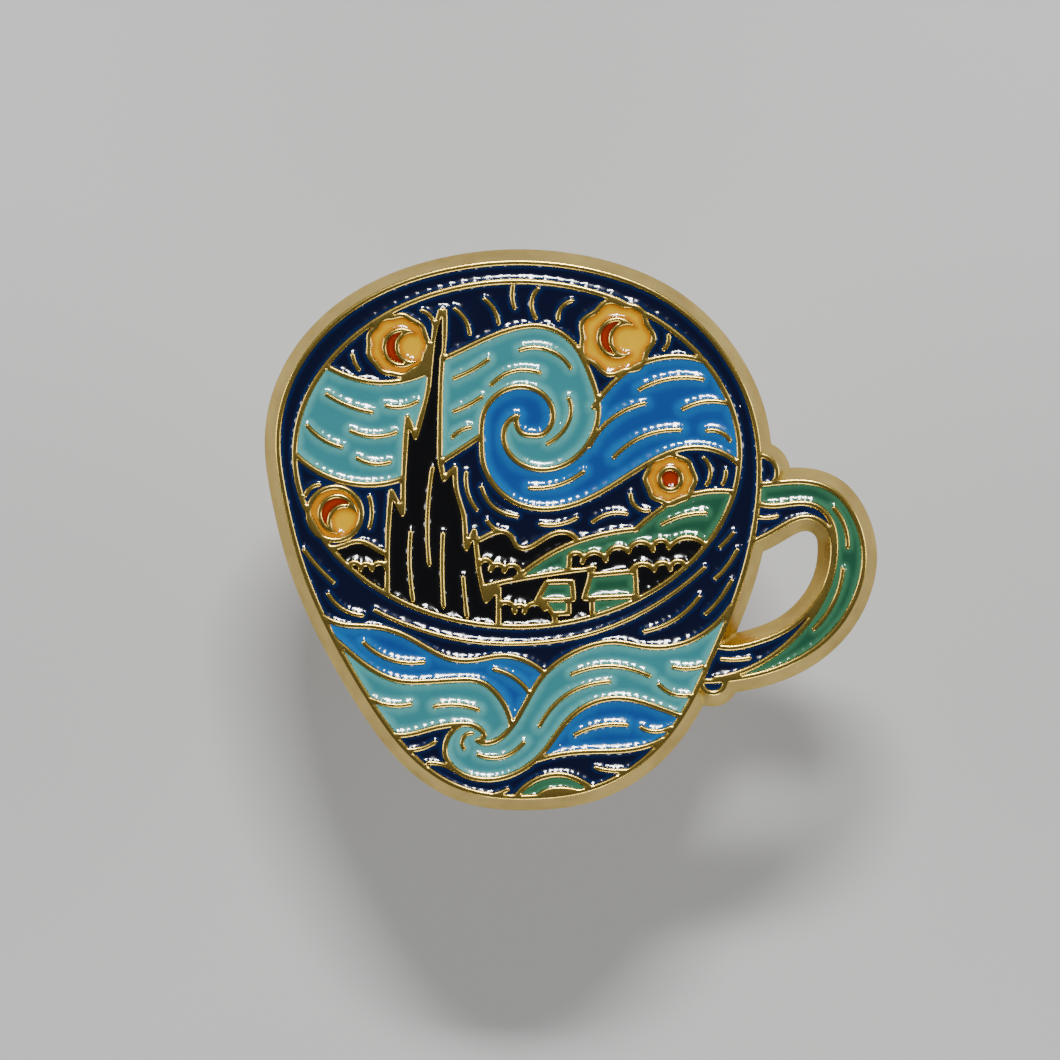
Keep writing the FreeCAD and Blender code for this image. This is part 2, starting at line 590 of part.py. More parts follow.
def draw_circle(sketch, across, radius):
    value = float(sketch.evalExpression(radius))
    centre = Vector(float(sketch.evalExpression(across)), 0, 0)
    circle = sketch.addGeometry(Part.Circle(centre, up, value))
    pin_point(sketch, circle, 3, (across, "0"))
    index = sketch.addConstraint(Sketcher.Constraint("Radius", circle, value))
    sketch.setExpression(f"Constraints[{index}]", radius)


def turned_body(label, profile):
    # A body turned about its own Z axis from a profile of (radius, level) corners.
    body = named("PartDesign::Body", label)
    sketch = sketch_on(body, "XZ_Plane", label + "_profile")
    draw_polygon(sketch, profile)
    turning = body.newObject("PartDesign::Revolution", label + "_turning")
    turning.Profile = sketch
    turning.ReferenceAxis = (sketch, ["V_Axis"])
    turning.Angle = 360
    doc.recompute()
    return body


def round_edges(body, feature, wanted, radius, name):
    # Fillets the edges of a feature that a test picks out.
    picked = [f"Edge{i}" for i, edge in enumerate(feature.Shape.Edges, start=1) if wanted(edge)]
    fillet = body.newObject("PartDesign::Fillet", name)
    fillet.Base = (feature, picked)
    fillet.setExpression("Radius", radius)
    doc.recompute()
    return fillet


# Plate and enamel.

def build_pin_body(cells):
    # The plate with its two locating recesses, then with its top face sunk into the cells.
    plate = shape_feature("struck_plate", build_plate())
    recesses = []
    for side, name in ((-1, "left_recess"), (1, "right_recess")):
        recess = named("Part::Cylinder", name)
        recess.setExpression("Radius", "Sizes.pad_radius + Sizes.solder_width")
        recess.setExpression("Height", "Sizes.locating_depth * 2")
        recess.setExpression("Placement.Base.x", f"{side} * Sizes.post_spacing / 2")
        recess.setExpression("Placement.Base.z", "-Sizes.locating_depth")
        recesses.append(recess)
    both = named("Part::MultiFuse", "recesses")
    both.Shapes = recesses
    blank = named("Part::Cut", "recessed_plate")
    blank.Base = plate
    blank.Tool = both
    doc.recompute()
    return node(shape_feature("pin_body", sink_cells(blank.Shape, cells)))


def sink_cells(blank, cells):
    # The top face gives way to the ridge tops, and each cell gets its own walls and floor.
    depth = size("cell_depth")

    def on_top(face):
        return face.BoundBox.ZMin > plate_thickness - touching

    top = [face for face in blank.Faces if on_top(face)]
    faces = [face for face in blank.Faces if not on_top(face)]
    raised = [cell.translated(up * plate_thickness) for cell in cells]
    for face in top:
        faces += face.cut(raised).Faces
    for cell in raised:
        faces += [face for face in cell.extrude(up * -depth).Faces if not on_top(face)]
    skin = Part.Compound(faces)
    skin.sewShape()
    solid = Part.Solid(skin.Shells[0])
    if solid.Volume < 0:
        solid.reverse()
    return solid


def build_enamel(label, cells):
    area = shape_feature(label + "_area", Part.Compound(cells))
    fill = named("Part::Extrusion", label)
    fill.Base = area
    fill.DirMode = "Custom"
    fill.Dir = up
    fill.setExpression("LengthFwd", "Sizes.cell_depth - Sizes.enamel_drop")
    fill.setExpression("Placement.Base.z", "Sizes.plate_thickness - Sizes.cell_depth")
    return node(fill)


# Posts, solder and clutches.
# Each of these is drawn standing up, and hung from the back face by turning it over.

def hang(piece, side, drop="0", turned=False):
    piece.Placement = Placement(Vector(), Rotation(up, 180 if turned else 0))
    piece.Placement.Rotation = Rotation(Vector(1, 0, 0), 180) * piece.Placement.Rotation
    piece.setExpression("Placement.Base.x", f"{side} * Sizes.post_spacing / 2")
    piece.setExpression("Placement.Base.z", f"-({drop})")
    return node(piece)


def build_post(name, side):
    shank = "Sizes.post_radius"
    neck = "Sizes.post_radius - Sizes.ring_groove_depth"
    groove = "Sizes.post_reach - Sizes.ring_groove_from_tip"
    head = "Sizes.pad_thickness - Sizes.locating_depth"
    post = turned_body(name, [
        ("0", "-Sizes.locating_depth"),
        ("Sizes.pad_radius", "-Sizes.locating_depth"),
        ("Sizes.pad_radius", head),
        (shank, head),
        (shank, f"{groove} - Sizes.ring_groove_width / 2 - Sizes.ring_groove_depth"),
        (neck, f"{groove} - Sizes.ring_groove_width / 2"),
        (neck, f"{groove} + Sizes.ring_groove_width / 2"),
        (shank, f"{groove} + Sizes.ring_groove_width / 2 + Sizes.ring_groove_depth"),
        (shank, "Sizes.post_reach - Sizes.post_tip_length"),
        ("Sizes.post_tip_radius", "Sizes.post_reach"),
        ("0", "Sizes.post_reach"),
    ])
    return hang(post, side)


def build_solder(name, side):
    outside = "Sizes.pad_radius + Sizes.solder_width"
    ring = turned_body(name, [
        ("Sizes.pad_radius", "-Sizes.locating_depth"),
        (outside, "-Sizes.locating_depth"),
        (outside, "0"),
        ("Sizes.pad_radius", "Sizes.solder_climb"),
    ])
    return hang(ring, side)


def build_clutch_plate(name, side):
    bore = "Sizes.post_radius + Sizes.post_play"
    rim = "Sizes.clutch_radius - Sizes.sheet"
    body = turned_body(name, [
        (f"{bore} + Sizes.funnel_width", "Sizes.sheet"),
        (rim, "Sizes.sheet"),
        (rim, "2 * Sizes.sheet"),
        (bore, "2 * Sizes.sheet"),
        (bore, "Sizes.sheet + Sizes.funnel_depth"),
    ])
    sketch = sketch_on(body, "XY_Plane", name + "_bump_outline")
    draw_circle(sketch, "Sizes.grip_circle", "Sizes.grip_radius")
    bump = body.newObject("PartDesign::Pad", name + "_bump")
    bump.Profile = sketch
    sketch.setExpression("AttachmentOffset.Base.z", "Sizes.sheet - Sizes.grip_height")
    bump.setExpression("Length", "Sizes.grip_height + Sizes.sheet / 2")
    ring = body.newObject("PartDesign::PolarPattern", name + "_bumps")
    ring.Originals = [bump]
    ring.Axis = (sketch, ["N_Axis"])
    ring.Angle = 360
    ring.setExpression("Occurrences", "Sizes.grip_count")
    body.Tip = ring
    doc.recompute()
    return hang(body, side, "Sizes.cloth_gap")


def build_clutch_cap(name, side):
    outside = "Sizes.clutch_radius"
    lip = "Sizes.clutch_radius - Sizes.lip_width"
    dome = "Sizes.dome_radius"
    flange = "3 * Sizes.sheet"
    bead_foot = "Sizes.bead_radius + Sizes.bead_width / 2"
    bead_root = "Sizes.bead_radius - Sizes.bead_width / 2"
    body = turned_body(name, [
        (lip, "0"),
        (outside, "0"),
        (outside, flange),
        (bead_foot, flange),
        ("Sizes.bead_radius", f"{flange} + Sizes.bead_height"),
        (bead_root, flange),
        (dome, flange),
        (dome, "Sizes.dome_height - Sizes.dome_round"),
        (f"{dome} - Sizes.dome_round", "Sizes.dome_height"),
        ("Sizes.post_radius + Sizes.post_play", "Sizes.dome_height"),
        ("Sizes.post_radius + Sizes.post_play", "Sizes.dome_height - Sizes.sheet"),
        (f"{dome} - Sizes.sheet - Sizes.dome_round", "Sizes.dome_height - Sizes.sheet"),
        (f"{dome} - Sizes.sheet", "Sizes.dome_height - Sizes.sheet - Sizes.dome_round"),
        (f"{dome} - Sizes.sheet", "2 * Sizes.sheet"),
        (f"{outside} - Sizes.sheet", "2 * Sizes.sheet"),
        (f"{outside} - Sizes.sheet", "Sizes.sheet"),
        (lip, "Sizes.sheet"),
    ])
    rim_levels = (0, 3 * size("sheet"))

    def on_rim(edge):
        box = edge.BoundBox
        full = abs(box.XLength - 2 * size("clutch_radius")) < touching
        return full and any(abs(box.ZMin - level) + abs(box.ZMax - level) < touching for level in rim_levels)

    rounded = round_edges(body, body.Tip, on_rim, "Sizes.rim_round", name + "_rim")
    sketch = sketch_on(body, "XZ_Plane", name + "_window_outline")
    half = "(Sizes.wing_width / 2 + Sizes.window_play)"
    draw_polygon(sketch, [
        (f"-{half}", "Sizes.window_sill"),
        (half, "Sizes.window_sill"),
        (half, "Sizes.window_head"),
        (f"-{half}", "Sizes.window_head"),
    ])
    windows = body.newObject("PartDesign::Pocket", name + "_windows")
    windows.Profile = sketch
    windows.Midplane = True
    windows.setExpression("Length", "Sizes.dome_radius * 2 + Sizes.sheet")
    doc.recompute()
    if windows.Shape.Volume >= rounded.Shape.Volume:
        raise RuntimeError(f"{name}: the windows cut nothing")
    return hang(body, side, "Sizes.cloth_gap")


def build_wing(name, side, turned):
    # One springy half: jaw, upright heel, shelf through the window, and the ear that is squeezed.
    half = "Sizes.wing_thickness / 2"
    jaw, shelf, top = "Sizes.jaw_level", "Sizes.window_level", "Sizes.ear_top"
    heel, ear, tail = "Sizes.heel_reach", "Sizes.ear_reach", "Sizes.ear_tail_reach"
    body = named("PartDesign::Body", name)
    sketch = sketch_on(body, "YZ_Plane", name + "_side")
    draw_polygon(sketch, [
        ("Sizes.jaw_parting", f"{jaw} - {half}"),
        (f"{heel} + {half}", f"{jaw} - {half}"),
        (f"{heel} + {half}", f"{shelf} - {half}"),
        (f"{ear} + {half}", f"{shelf} - {half}"),
        (f"{ear} + {half}", f"{top} + {half}"),
        (f"{tail} - {half}", f"{top} + {half}"),
        (f"{tail} - {half}", "Sizes.ear_tail_level"),
        (f"{tail} + {half}", "Sizes.ear_tail_level"),
        (f"{tail} + {half}", f"{top} - {half}"),
        (f"{ear} - {half}", f"{top} - {half}"),
        (f"{ear} - {half}", f"{shelf} + {half}"),
        (f"{heel} - {half}", f"{shelf} + {half}"),
        (f"{heel} - {half}", f"{jaw} + {half}"),
        ("Sizes.jaw_parting", f"{jaw} + {half}"),
    ])
    strip = body.newObject("PartDesign::Pad", name + "_strip")
    strip.Profile = sketch
    strip.Midplane = True
    strip.setExpression("Length", "Sizes.wing_width")
    doc.recompute()

    thickness = size("wing_thickness")
    bends = [
        ("foot", "Sizes.foot_bend", [(heel, jaw, 1, -1), (heel, shelf, -1, 1)]),
        ("ear", "Sizes.ear_bend", [(ear, shelf, 1, -1), (ear, top, 1, 1), (tail, top, -1, 1)]),
    ]
    feature = strip
    for bend, radius, corners in bends:
        for outer in (1, -1):
            at = []
            for across, level, y_side, z_side in corners:
                y = float(sketch.evalExpression(across)) + outer * y_side * thickness / 2
                z = float(sketch.evalExpression(level)) + outer * z_side * thickness / 2
                at.append((y, z))

            def on_bend(edge):
                box = edge.BoundBox
                return box.XLength > touching and any(
                    abs(box.YMin - y) + abs(box.YMax - y) + abs(box.ZMin - z) + abs(box.ZMax - z) < touching
                    for y, z in at)

            sign = "+" if outer > 0 else "-"
            side_name = "outer" if outer > 0 else "inner"
            feature = round_edges(body, feature, on_bend, f"{radius} {sign} {half}",
                                  f"{name}_{bend}_{side_name}")
    notch = sketch_on(body, "XY_Plane", name + "_notch_outline")
    draw_circle(notch, "0", "Sizes.post_radius + Sizes.jaw_play")
    cut = body.newObject("PartDesign::Pocket", name + "_notch")
    cut.Profile = notch
    cut.Midplane = True
    cut.setExpression("Length", "4 * Sizes.jaw_level")
    doc.recompute()
    if cut.Shape.Volume >= feature.Shape.Volume:
        raise RuntimeError(f"{name}: the notch cuts nothing")
    return hang(body, side, "Sizes.cloth_gap", turned)


# The whole pin.

fields = build_fields()
all_cells = cut_cells(fields)
by_enamel = {label: cells_with(all_cells, seeds) for label, seeds in enamel_seeds.items()}
by_enamel["enamel_navy_handle"] += fields["upper_knuckle"].Faces + fields["lower_knuckle"].Faces
filled = [cell for cells in by_enamel.values() for cell in cells]
if any(cell.isSame(other) for i, cell in enumerate(filled) for other in filled[:i]):
    raise RuntimeError("two enamels share a cell")
build_pin_body(filled)
for label, cells in by_enamel.items():
    build_enamel(label, cells)
for side, name in ((-1, "left"), (1, "right")):
    build_post(f"{name}_post", side)
    build_solder(f"{name}_solder_ring", side)
    build_clutch_plate(f"{name}_clutch_plate", side)
    build_clutch_cap(f"{name}_clutch_cap", side)
    build_wing(f"{name}_wing_lower", side, turned=False)
    build_wing(f"{name}_wing_upper", side, turned=True)
doc.recompute()

for piece in doc.Objects:
    if "Invalid" in piece.State or "Error" in piece.State:
        raise RuntimeError(f"{piece.Label} did not recompute: {piece.State}")
for piece in nodes:
    if piece.Shape.isNull() or not piece.Shape.isValid() or not piece.Shape.Solids:
        raise RuntimeError(f"{piece.Label} has no valid solid")

os.makedirs("parts", exist_ok=True)
for piece in nodes:
    piece.Shape.exportStep(f"parts/{piece.Label}.step")
    print(f"{piece.Label}: {len(piece.Shape.Solids)} solids, {piece.Shape.Volume:.2f} mm3")
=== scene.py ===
import bpy
import math
import numpy as np
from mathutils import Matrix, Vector, kdtree, noise
from mathutils.geometry import delaunay_2d_cdt
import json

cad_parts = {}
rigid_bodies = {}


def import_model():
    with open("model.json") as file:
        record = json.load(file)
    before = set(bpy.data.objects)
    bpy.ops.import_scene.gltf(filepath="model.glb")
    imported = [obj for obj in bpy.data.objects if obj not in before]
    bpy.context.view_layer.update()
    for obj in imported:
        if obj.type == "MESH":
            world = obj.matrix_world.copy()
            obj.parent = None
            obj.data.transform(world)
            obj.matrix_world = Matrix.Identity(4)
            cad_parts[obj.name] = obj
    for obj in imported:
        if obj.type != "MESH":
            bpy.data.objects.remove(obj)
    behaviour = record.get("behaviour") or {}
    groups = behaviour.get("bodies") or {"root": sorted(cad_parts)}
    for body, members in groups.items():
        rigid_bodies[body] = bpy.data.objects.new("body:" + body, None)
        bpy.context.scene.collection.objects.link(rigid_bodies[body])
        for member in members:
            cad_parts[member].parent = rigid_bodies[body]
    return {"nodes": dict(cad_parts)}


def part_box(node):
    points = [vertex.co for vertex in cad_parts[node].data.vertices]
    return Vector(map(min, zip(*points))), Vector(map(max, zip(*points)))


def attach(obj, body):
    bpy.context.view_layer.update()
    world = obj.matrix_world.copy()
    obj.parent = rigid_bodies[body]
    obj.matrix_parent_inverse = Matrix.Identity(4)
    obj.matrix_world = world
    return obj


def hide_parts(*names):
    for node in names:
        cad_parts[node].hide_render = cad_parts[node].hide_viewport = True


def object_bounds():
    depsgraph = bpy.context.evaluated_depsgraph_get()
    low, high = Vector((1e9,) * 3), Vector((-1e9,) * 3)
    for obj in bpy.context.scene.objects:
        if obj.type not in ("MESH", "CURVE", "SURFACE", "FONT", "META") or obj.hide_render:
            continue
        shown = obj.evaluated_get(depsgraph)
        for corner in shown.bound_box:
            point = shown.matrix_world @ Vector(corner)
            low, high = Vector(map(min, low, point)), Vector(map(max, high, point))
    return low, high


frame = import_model()
cadLow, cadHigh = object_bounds()
cadNodes = frame["nodes"]
mm = 0.001
print("frame loaded")


# Camera: straight above the pin, a little to the right of the posts and below them.
cameraSetup = {"x": 0.5, "y": -1.86, "height": 420.0, "seenWidth": 65.6, "sensor": 36.0,
               "clipNear": 0.01, "clipFar": 10}

cameraData = bpy.data.cameras.new("camera")
camera = bpy.data.objects.new("camera", cameraData)
bpy.context.scene.collection.objects.link(camera)
bpy.context.scene.camera = camera
cameraData.sensor_width = cameraSetup["sensor"]
cameraData.lens = cameraSetup["sensor"] * cameraSetup["height"] / cameraSetup["seenWidth"]
cameraData.clip_start = cameraSetup["clipNear"]
cameraData.clip_end = cameraSetup["clipFar"]
camera.location = (cameraSetup["x"] * mm, cameraSetup["y"] * mm, cadHigh.z + cameraSetup["height"] * mm)


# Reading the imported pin's outlines, in millimetres.
outlineReading = {
    "decimals": 4,          # places that agree to this many are one
    "levelSlack": 1e-3,
    "levelGap": 0.01,
    "fillGap": 0.05,        # a fill's corner this near an outline touches it
    "touchedPart": 5,       # a cell's outline has more than one touched point in this many
}
tiny = 1e-6                 # keeps divisions away from zero
onOutline = 1e-4            # a point or level this near is on the outline or the level


def weldedMesh(node):
    # corner places and triangles, with corners that share a place made one
    mesh = cadNodes[node].data
    places = np.zeros(len(mesh.vertices) * 3, np.float32)
    mesh.vertices.foreach_get("co", places)
    places = np.round(places.reshape(-1, 3).astype(float) / mm, outlineReading["decimals"])
    places, weld = np.unique(places, axis=0, return_inverse=True)
    corners = np.zeros(len(mesh.polygons) * 3, np.int32)
    mesh.polygons.foreach_get("vertices", corners)
    return places, weld.ravel()[corners].reshape(-1, 3)


def loopsAt(places, triangles, level, facingUp):
    # closed outlines of the faces lying at one level, with those faces on their left seen from above
    flat = triangles[(np.abs(places[triangles][:, :, 2] - level) < outlineReading["levelSlack"]).all(1)]
    if not facingUp:
        flat = flat[:, ::-1]
    edges = np.concatenate([flat[:, [0, 1]], flat[:, [1, 2]], flat[:, [2, 0]]]).tolist()
    known = set(map(tuple, edges))
    after = {a: b for a, b in known if (b, a) not in known}
    loops = []
    while after:
        start, at = after.popitem()
        loop = [start]
        while at != start:
            loop.append(at)
            at = after.pop(at)
        loops.append(places[loop][:, :2])
    loops.sort(key=lambda loop: tuple(loop.mean(0).round(3)))
    return loops


def signedArea(loop):
    # positive where the outline runs anticlockwise
    x, y = loop.T
    return float(np.sum(x * np.roll(y, -1) - np.roll(x, -1) * y) / 2)


# A turn past sharpTurn stays a corner; a new point comes at each step or turnStep of bend.
outlineFinish = {"sharpTurn": 32.0, "step": 0.13, "turnStep": 20.0}


def smoothLoop(loop):
    # the outline on a smooth curve through its points, evenly spaced, with its sharp corners kept
    ahead = np.roll(loop, -1, 0) - loop
    length = np.hypot(*ahead.T)
    slope = ahead / length[:, None]
    before = np.roll(slope, 1, 0)
    turn = np.degrees(np.abs(np.arctan2(before[:, 0] * slope[:, 1] - before[:, 1] * slope[:, 0],
                                        (before * slope).sum(1))))
    sharp = turn > outlineFinish["sharpTurn"]
    lengthBefore = np.roll(length, 1)[:, None]
    share = lengthBefore / (lengthBefore + length[:, None])
    middle = before * (1 - share) + slope * share
    leaving = np.where(sharp[:, None], slope, middle)
    arriving = np.roll(np.where(sharp[:, None], before, middle), -1, 0)
    bend = np.where(sharp, 0, turn)
    measure = length / outlineFinish["step"] + (bend + np.roll(bend, -1)) / 2 / outlineFinish["turnStep"]
    stops = np.concatenate([[0], np.cumsum(measure)])
    first = int(np.argmax(sharp)) if sharp.any() else 0
    order = [i for i in range(len(loop)) if sharp[i] or i == first]
    at = []
    for here, there in zip(order, order[1:] + [len(loop)]):
        count = max(1, round(stops[there] - stops[here]))
        at += list(np.linspace(stops[here], stops[there], count + 1)[:-1])
    if first:
        at += list(np.linspace(0, stops[first], max(1, round(stops[first])) + 1)[:-1])
    at = np.array(at)
    piece = np.clip(np.searchsorted(stops, at, side="right") - 1, 0, len(loop) - 1)
    t = ((at - stops[piece]) / measure[piece])[:, None]
    reach = length[piece][:, None]
    start, end = loop[piece], np.roll(loop, -1, 0)[piece]
    return (start * (2 * t**3 - 3 * t**2 + 1) + end * (3 * t**2 - 2 * t**3)
            + leaving[piece] * reach * (t**3 - 2 * t**2 + t) + arriving[piece] * reach * (t**3 - t**2))


castPin = {
    "capWidth": 0.17,       # edge of a raised line to where its top is flat
    "wander": 0.012,        # uneven height along the raised lines
    "wanderScale": 0.9,
    "wanderSeed": 3.1,
    "capRings": (0.02, 0.065, 0.12, 0.175),
    "fillRings": (0.06, 0.14, 0.22, 0.3, 0.38, 0.47, 0.6, 0.85),
    "wallRings": (0.08, 0.3, 0.5),
    "footRound": 0.08,      # rounding where the land meets the back
    "lean": 0.5,            # slope of a fill where it climbs to the metal
    "climb": 0.34,          # how far from the metal the climb starts
    "bend": 0.07,           # how softly the climb starts
    "settle": 14,           # rounds of levelling where two climbs meet
    "ripple": 0.007,
    "rippleScale": 0.7,
    "rippleSeed": 7.7,
    "bodyCrease": 50,       # an edge sharper than this many degrees isn't smoothed over
    "fillCrease": 60,
}

bodyPlaces, bodyTriangles = weldedMesh("pin_body")
topLevel = float(bodyPlaces[:, 2].max())
backLevel = float(bodyPlaces[:, 2].min())
enamelNodes = sorted(name for name in cadNodes if name.startswith("enamel_"))
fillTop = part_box(enamelNodes[0])[1].z / mm
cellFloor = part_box(enamelNodes[0])[0].z / mm
packedTopLoops = loopsAt(bodyPlaces, bodyTriangles, topLevel, True)
topLoops = [smoothLoop(loop) for loop in packedTopLoops]
backLoops = [smoothLoop(loop) for loop in loopsAt(bodyPlaces, bodyTriangles, backLevel, False)]
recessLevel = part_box("left_post")[1].z / mm
wallHeight = bodyPlaces[:, 2]
wallHeight = wallHeight[(wallHeight > recessLevel + outlineReading["levelGap"])
                        & (wallHeight < cellFloor - outlineReading["levelGap"])]
levels, counts = np.unique(wallHeight, return_counts=True)
landLevel = float(levels[counts.argmax()])      # top of the upright land round the back
print(f"{len(topLoops)} outlines on the face, {len(backLoops)} on the back")


# Which outline is which.

def treeOf(points):
    # finds the nearest of some points
    tree = kdtree.KDTree(len(points))
    for i, (x, y) in enumerate(points):
        tree.insert((x, y, 0), i)
    tree.balance()
    return tree


def nodeOfEachFill():
    # each sunken outline's enamel node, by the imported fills' own edges; the handle's hole has none
    places, owners = [], []
    for name in enamelNodes:
        corners, _ = weldedMesh(name)
        places.append(corners[:, :2])
        owners += [name] * len(corners)
    tree = treeOf(np.concatenate(places))
    found = {}
    for i, loop in enumerate(packedTopLoops):
        if signedArea(loop) < 0:
            near = [tree.find((x, y, 0)) for x, y in loop]
            touching = [owners[index] for _, index, gap in near if gap < outlineReading["fillGap"]]
            if len(touching) > len(near) / outlineReading["touchedPart"]:
                found[i] = max(set(touching), key=touching.count)
    return found


fillNode = nodeOfEachFill()
outerEdge = max(range(len(topLoops)), key=lambda i: signedArea(topLoops[i]))
holeEdge = next(i for i, loop in enumerate(topLoops) if signedArea(loop) < 0 and i not in fillNode)
islands = [i for i, loop in enumerate(topLoops) if signedArea(loop) > 0 and i != outerEdge]
outerFoot = max(range(len(backLoops)), key=lambda i: signedArea(backLoops[i]))
holeFoot = min(range(len(backLoops)), key=lambda i: backLoops[i][:, 0].mean() * signedArea(backLoops[i]))
recesses = [i for i in range(len(backLoops)) if i not in (outerFoot, holeFoot)]
print(f"{len(fillNode)} sunken cells, {len(islands)} free strokes, {len(recesses)} post recesses")


# The whole face as one fine triangulation, seen from above.

def besideLoop(loop, distance):
    # points beside an outline, to its left where the distance is positive
    ahead = np.roll(loop, -1, 0) - loop
    slope = ahead / np.hypot(*ahead.T)[:, None]
    along = slope + np.roll(slope, 1, 0)
    along /= np.maximum(np.hypot(*along.T), tiny)[:, None]
    return loop + np.stack([-along[:, 1], along[:, 0]], 1) * distance


def thinned(points, gap):
    # at most one point in each square of the given size
    squares = np.round(points / gap).astype(int)
    _, first = np.unique(squares, axis=0, return_index=True)
    return points[np.sort(first)]


class EdgeField:
    # distance from any place to the nearest of some outlines
    def __init__(self, loops):
        self.points = np.concatenate(loops)
        self.after = np.concatenate([np.roll(loop, -1, 0) for loop in loops])
        self.before = np.concatenate([np.roll(loop, 1, 0) for loop in loops])
        self.tree = treeOf(self.points)

    def distance(self, places):
        near = np.array([self.tree.find((x, y, 0))[1] for x, y in places], int)
        best = np.full(len(places), np.inf)
        for other in (self.after, self.before):
            start = self.points[near]
            run = other[near] - start
            share = ((places - start) * run).sum(1) / np.maximum((run * run).sum(1), tiny**2)
            gap = places - start - run * np.clip(share, 0, 1)[:, None]
            best = np.minimum(best, np.hypot(*gap.T))
        return best


faceEdges = EdgeField(topLoops)
footEdges = EdgeField([backLoops[outerFoot], backLoops[holeFoot]])


pointSpacing = {
    "keepClear": 0.93,      # share of a ring's distance that its points keep from every outline
    "near": 0.05,
    "far": 0.18,
    "farFrom": 0.5,
    "wall": 0.15,
    "wallFoot": 0.05,
    "grid": 0.45,
    "gridFromEdge": 0.95,
    "gridFromFoot": 0.8,
}


def ringBeside(loops, distance):
    # points at one distance beside some outlines, without those too near another outline
    ring = np.concatenate([besideLoop(loop, distance) for loop in loops])
    return ring[faceEdges.distance(ring) > abs(distance) * pointSpacing["keepClear"]]


def wantedPoints():
    # rings of points beside every outline, and a loose grid in the middle of wide fills
    wanted = []
    for side, rings in ((1, castPin["capRings"]), (-1, castPin["fillRings"])):
        for distance in rings:
            gap = pointSpacing["near" if distance < pointSpacing["farFrom"] else "far"]
            wanted.append(thinned(ringBeside(topLoops, side * distance), gap))
    for distance in castPin["wallRings"]:
        ring = ringBeside([topLoops[outerEdge], topLoops[holeEdge]], -distance)
        ring = ring[footEdges.distance(ring) > pointSpacing["wallFoot"]]
        wanted.append(thinned(ring, pointSpacing["wall"]))
    low, high = backLoops[outerFoot].min(0), backLoops[outerFoot].max(0)
    step = pointSpacing["grid"]
    across, upward = np.meshgrid(np.arange(low[0], high[0], step), np.arange(low[1], high[1], step))
    grid = np.stack([across.ravel(), upward.ravel()], 1)
    clear = ((faceEdges.distance(grid) > pointSpacing["gridFromEdge"])
             & (footEdges.distance(grid) > pointSpacing["gridFromFoot"]))
    return np.concatenate(wanted + [grid[clear]])


wholeHull = 0               # the triangulation keeps every triangle, in and out of the outlines


def triangulate(loops, extra):
    # triangles, their corners, and for each triangle the outlines round it
    points = np.concatenate(loops + [extra])
    firsts = np.cumsum([0] + [len(loop) for loop in loops])
    faces = [list(range(firsts[i], firsts[i + 1])) for i in range(len(loops))]
    faces = [face if signedArea(loop) > 0 else face[::-1] for face, loop in zip(faces, loops)]
    made = delaunay_2d_cdt([Vector(point) for point in points.tolist()], [], faces, wholeHull, tiny)
    places = np.array([tuple(place) for place in made[0]])
    return places, np.array(made[2]), [frozenset(around) for around in made[5]]


plateLoops = topLoops + [backLoops[outerFoot], backLoops[holeFoot]]
outerFootAt, holeFootAt = len(topLoops), len(topLoops) + 1
plateAreas = [abs(signedArea(loop)) for loop in plateLoops]


def zoneOf(around):
    # "wall", "metal", an enamel node's name, or nothing, by the smallest outline round a triangle
    if outerFootAt not in around or holeFootAt in around:
        return None
    nearest = min(around, key=lambda i: plateAreas[i])
    if nearest in (outerFootAt, holeEdge):
        return "wall"
    return fillNode.get(nearest, "metal")


def byZone(triangles, outlinesAround):
    # the triangles of each zone
    chosen = {}
    for i, around in enumerate(outlinesAround):
        chosen.setdefault(zoneOf(around), []).append(i)
    return {zone: triangles[picked] for zone, picked in chosen.items()}


facePoints, faceTriangles, faceAround = triangulate(plateLoops, wantedPoints())
zones = byZone(faceTriangles, faceAround)
print(f"face: {len(facePoints)} points, {len(faceTriangles)} triangles")


# Heights of the metal, the side wall and the enamel.

def unevenness(points, scale, seed):
    # soft, steady noise over the face, from -1 to 1
    return np.array([noise.noise((x * scale, y * scale, seed)) for x, y in points])


edgeGap = faceEdges.distance(facePoints)
footGap = footEdges.distance(facePoints)


def metalHeights():
    # a raised line's top is rounded down to its edges
    inward = np.clip(edgeGap / castPin["capWidth"], 0, 1)
    cap = np.sqrt(1 - (1 - inward)**2)
    noisy = unevenness(facePoints, castPin["wanderScale"], castPin["wanderSeed"])
    rise = topLevel - fillTop - castPin["wander"] * (0.5 + 0.5 * noisy)
    return fillTop + rise * cap


def wallHeights():
    # the side wall slopes from the face's edge down to the land
    share = footGap / np.maximum(edgeGap + footGap, tiny)
    return landLevel + (fillTop - landLevel) * share


def levelled(heights, rounds):
    # each round moves a point half way to the mean of its neighbours, apart from points on an edge
    edges = np.concatenate([faceTriangles[:, [0, 1]], faceTriangles[:, [1, 2]], faceTriangles[:, [2, 0]]])
    edges = np.concatenate([edges, edges[:, ::-1]])
    shared = np.bincount(edges[:, 0], minlength=len(heights))
    for _ in range(rounds):
        mean = np.bincount(edges[:, 0], heights[edges[:, 1]], len(heights)) / np.maximum(shared, 1)
        heights = np.where(edgeGap > onOutline, (heights + mean) / 2, heights)
    return heights


def fillHeights():
    # steep beside the metal, then nearly level, as enamel that has shrunk in its oven
    bend, climb = castPin["bend"], castPin["climb"]
    run = bend * np.log((1 + math.exp(climb / bend)) / (1 + np.exp((climb - edgeGap) / bend)))
    noisy = unevenness(facePoints, castPin["rippleScale"], castPin["rippleSeed"])
    ripple = castPin["ripple"] * np.clip(edgeGap / climb, 0, 1) * noisy
    return levelled(fillTop - castPin["lean"] * run + ripple, castPin["settle"])


# Building the meshes.

def usedOnly(places, triangles):
    # the places that some triangles use, those triangles renumbered, and the places' old numbers
    used, again = np.unique(triangles, return_inverse=True)
    return places[used], again.reshape(-1, 3), used


